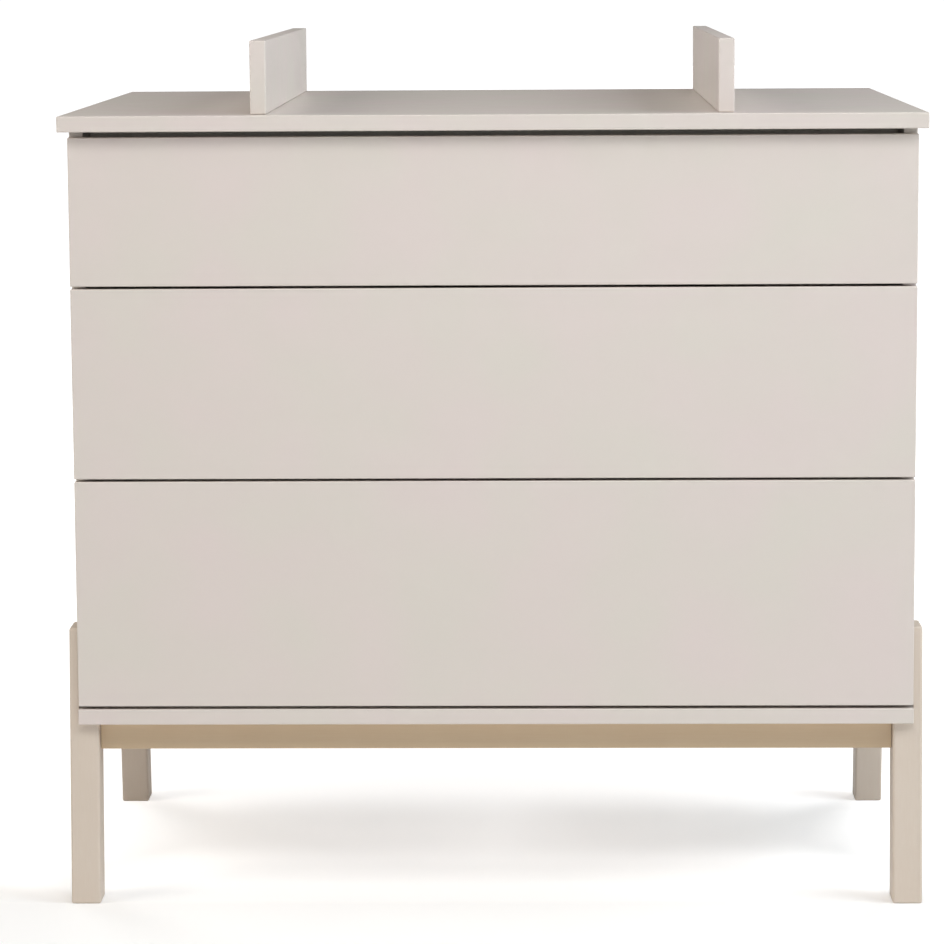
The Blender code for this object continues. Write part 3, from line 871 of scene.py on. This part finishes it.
def make_slide(number, word, side):
    """A full slide: its three channels, the holes and screws in them, the balls and a ball cage."""
    start = f"slide_{number}_{word}"
    drawer, runners = f"drawer_{number}", f"runners_{number}"
    nodes = {part: f"{start}_{part}" for part in ("cabinet", "middle", "drawer")}
    channel(f"{start}_fixed_channel", nodes["cabinet"], -side, "chassis")
    middle = channel(f"{start}_middle_channel", nodes["middle"], -side, runners)
    inner = channel(f"{start}_drawer_channel", nodes["drawer"], side, drawer)
    low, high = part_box(nodes["drawer"])
    web = low.x + STEEL if side > 0 else high.x - STEEL
    height = (low.z + high.z) / 2
    length = high.y - low.y
    places = [(web, low.y + share * length, height) for share in DRAWER_SCREWS]
    fastened(f"{start}_drawer_screws", SLIDE_SCREW, places, (side, 0, 0), drawer)
    first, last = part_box(nodes["middle"])
    for share in MIDDLE_HOLES:
        place = ((first.x + last.x) / 2, first.y + share * length, height)
        drill(middle, place, MIDDLE_HOLE, MIDDLE_DRILL, X)
    for share in DRAWER_HOLES:
        place = ((low.x + high.x) / 2, low.y + share * length, height)
        drill(inner, place, DRAWER_HOLE, DRAWER_DRILL, X)
    outer_races = race_places(nodes["cabinet"], nodes["middle"])
    inner_races = race_places(nodes["middle"], nodes["drawer"])
    mouth = (first.x if side > 0 else last.x) + side * RACE_INSET
    edge = high.x if side > 0 else low.x
    make_balls(
        f"{start}_rear_balls", mouth, outer_races, last.y + REAR_BALLS_START, REAR_BALLS, runners,
    )
    make_balls(
        f"{start}_front_balls", edge - side * RACE_INSET, inner_races,
        first.y + FRONT_BALLS_START, FRONT_BALLS, runners,
    )
    back = edge + side * CAGE_GAP
    make_cage(
        f"{start}_ball_cage", back, back + side * CAGE_WEB, inner_races, back - side * CAGE_LIP,
        first.y + CAGE_START, first.y + CAGE_END, runners,
    )


def make_catch(number, word):
    """A touch latch: a moulded body with the recess of its sprung nose in front."""
    low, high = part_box(f"catch_{number}_{word}")
    shape = block(low, high)
    ease(shape, LATCH_ROUNDING, steps=3)
    middle = (low + high) / 2
    pocket(shape, -ALONG[Y], middle - NOSE_HALF, middle + NOSE_HALF, NOSE_DEPTH)
    finished(
        shape, f"touch_latch_{number}_{word}", ACETAL, "chassis",
        [f"catch_{number}_{word}"],
    )


# ---------------------------------------------------------------- studio

def soft_light(name, place, width, height, power, colour):
    """A large soft box that faces the middle of the table."""
    data = bpy.data.lights.new(name, "AREA")
    data.shape = "RECTANGLE"
    data.size = width
    data.size_y = height
    data.energy = power
    data.color = linear(colour)[:3]
    light = placed(name, data)
    light.location = place
    light.rotation_mode = "QUATERNION"
    light.rotation_quaternion = (Vector(LIGHT_AIM) - Vector(place)).to_track_quat("-Z", "Y")


def painted_floor_glow(tree, place):
    """The painted glow added to the floor as it is seen: little under the chest, for a painted
    shade there, most far away.
    """
    split = add(tree, "ShaderNodeSeparateXYZ", {0: place})
    across, back = split.outputs["X"], split.outputs["Y"]
    aside = add(tree, "ShaderNodeMath", {0: across}, operation="ABSOLUTE").outputs[0]
    behind = add(
        tree, "ShaderNodeMath", {0: back, 1: SHADE_MIDDLE}, operation="SUBTRACT",
    ).outputs[0]
    depth = add(tree, "ShaderNodeMath", {0: behind}, operation="ABSOLUTE").outputs[0]
    away = add(tree, "ShaderNodeVectorMath", {0: place}, operation="LENGTH").outputs["Value"]
    beside = add(tree, "ShaderNodeMapRange", {
        0: aside, 1: SHADE_SIDES[0], 2: SHADE_SIDES[1], 3: 0.0, 4: 1.0,
    }, interpolation_type="SMOOTHSTEP").outputs[0]
    beyond = add(tree, "ShaderNodeMapRange", {
        0: depth, 1: SHADE_DEPTHS[0], 2: SHADE_DEPTHS[1], 3: 0.0, 4: 1.0,
    }, interpolation_type="SMOOTHSTEP").outputs[0]
    outside = add(
        tree, "ShaderNodeMath", {0: beside, 1: beyond}, operation="MAXIMUM",
    ).outputs[0]
    left = add(tree, "ShaderNodeMapRange", {
        0: across, 1: SHADE_LEFT, 2: 0.0, 3: LEFT_BURN, 4: MIDDLE_BURN,
    }).outputs[0]
    right = add(tree, "ShaderNodeMapRange", {
        0: across, 1: 0.0, 2: SHADE_RIGHT, 3: MIDDLE_BURN, 4: RIGHT_BURN,
    }).outputs[0]
    # Painted shade under the chest: less glow is added there than on the open floor, by amounts
    # that change from its left end through its middle to its right end.
    shade = add(tree, "ShaderNodeMath", {0: left, 1: right}, operation="MINIMUM").outputs[0]
    near = add(tree, "ShaderNodeMapRange", {
        0: back, 1: NEAR_FLOOR[0], 2: NEAR_FLOOR[1], 3: NEAR_BURN[0], 4: NEAR_BURN[1],
    }).outputs[0]
    far = add(tree, "ShaderNodeMapRange", {
        0: away, 1: FAR_FLOOR[0], 2: FAR_FLOOR[1], 3: 0.0, 4: FAR_BURN,
    }).outputs[0]
    open_floor = add(tree, "ShaderNodeMath", {0: near, 1: far}, operation="MAXIMUM").outputs[0]
    # The painted glow: the painted shade under the chest gives way to the open floor's glow outside
    # it.
    painted_glow = add(tree, "ShaderNodeMix", {0: outside, 2: shade, 3: open_floor}).outputs[0]
    straight = add(tree, "ShaderNodeLightPath", {}).outputs["Is Camera Ray"]
    return add(
        tree, "ShaderNodeMath", {0: painted_glow, 1: straight}, operation="MULTIPLY",
    ).outputs[0]


def make_floor():
    """Matt white paper, faintly clouded, with a painted glow that burns it out to white away from
    the table and a painted shade under the chest.
    """
    material, tree, shader, place = new_finish("white_paper_floor_painted_glow_and_shade", roughness=0.9)
    cloud = add(tree, "ShaderNodeTexNoise", {
        "Vector": place, "Scale": 1 / PAPER_CLOUD, "Detail": 3.0,
    }).outputs[0]
    dress(tree, shader, tones=(cloud, "#F2F1F0", "#EFEEED"))
    shader.inputs["Specular IOR Level"].default_value = 0.1
    # Painted glow and painted shade on the floor, seen only by the camera.
    glow = add(tree, "ShaderNodeEmission", {
        "Color": linear("#FFFFFF"), "Strength": painted_floor_glow(tree, place),
    }).outputs[0]
    paper = add(tree, "ShaderNodeAddShader", {0: shader.outputs[0], 1: glow}).outputs[0]
    tree.links.new(paper, tree.nodes["Material Output"].inputs["Surface"])
    shape = bmesh.new()
    bmesh.ops.create_grid(shape, x_segments=8, y_segments=8, size=FLOOR_REACH)
    mesh = as_mesh(shape, "studio_floor")
    mesh.materials.append(material)
    floor = placed("studio_floor", mesh)


def make_room():
    """A white room: bright where it is seen, and only a faint fill on the table."""
    world = bpy.data.worlds.new("white_room")
    bpy.context.scene.world = world
    world.use_nodes = True
    room = world.node_tree
    room.nodes.clear()
    white = linear("#FFFFFF")
    seen = add(room, "ShaderNodeBackground", {"Color": white, "Strength": ROOM_GLOW})
    lit = add(room, "ShaderNodeBackground", {"Color": white, "Strength": ROOM_LIGHT})
    straight = add(room, "ShaderNodeLightPath", {}).outputs["Is Camera Ray"]
    both = add(room, "ShaderNodeMixShader", {
        0: straight, 1: lit.outputs[0], 2: seen.outputs[0],
    })
    add(room, "ShaderNodeOutputWorld", {"Surface": both.outputs[0]})
    bpy.context.scene.view_settings.view_transform = "Standard"


def make_camera():
    """The camera, turned by its yaw and pitch and then rolled."""
    data = bpy.data.cameras.new("camera")
    data.sensor_width = CAMERA_SENSOR
    data.lens = CAMERA_LENS
    data.shift_y = CAMERA_SHIFT
    camera = placed("camera", data)
    camera.location = (CAMERA_SIDE, CAD_BOX[0].y - CAMERA_DISTANCE, CAMERA_HEIGHT)
    flat = math.cos(CAMERA_PITCH)
    looking = Vector((
        math.sin(CAMERA_YAW) * flat, math.cos(CAMERA_YAW) * flat, -math.sin(CAMERA_PITCH),
    ))
    roll = Quaternion((0, 0, 1), -CAMERA_ROLL)
    camera.rotation_mode = "QUATERNION"
    camera.rotation_quaternion = looking.to_track_quat("-Z", "Y") @ roll
    bpy.context.scene.camera = camera


make_camera()
make_floor()
make_room()
for name, settings in SOFT_BOXES.items():
    soft_light(name, *settings)
make_top()
make_chest()
make_stand()
make_wall_angle()
for number in DRAWERS:
    make_drawer(number)
    for word, side in SIDES:
        make_slide(number, word, side)
        make_catch(number, word)
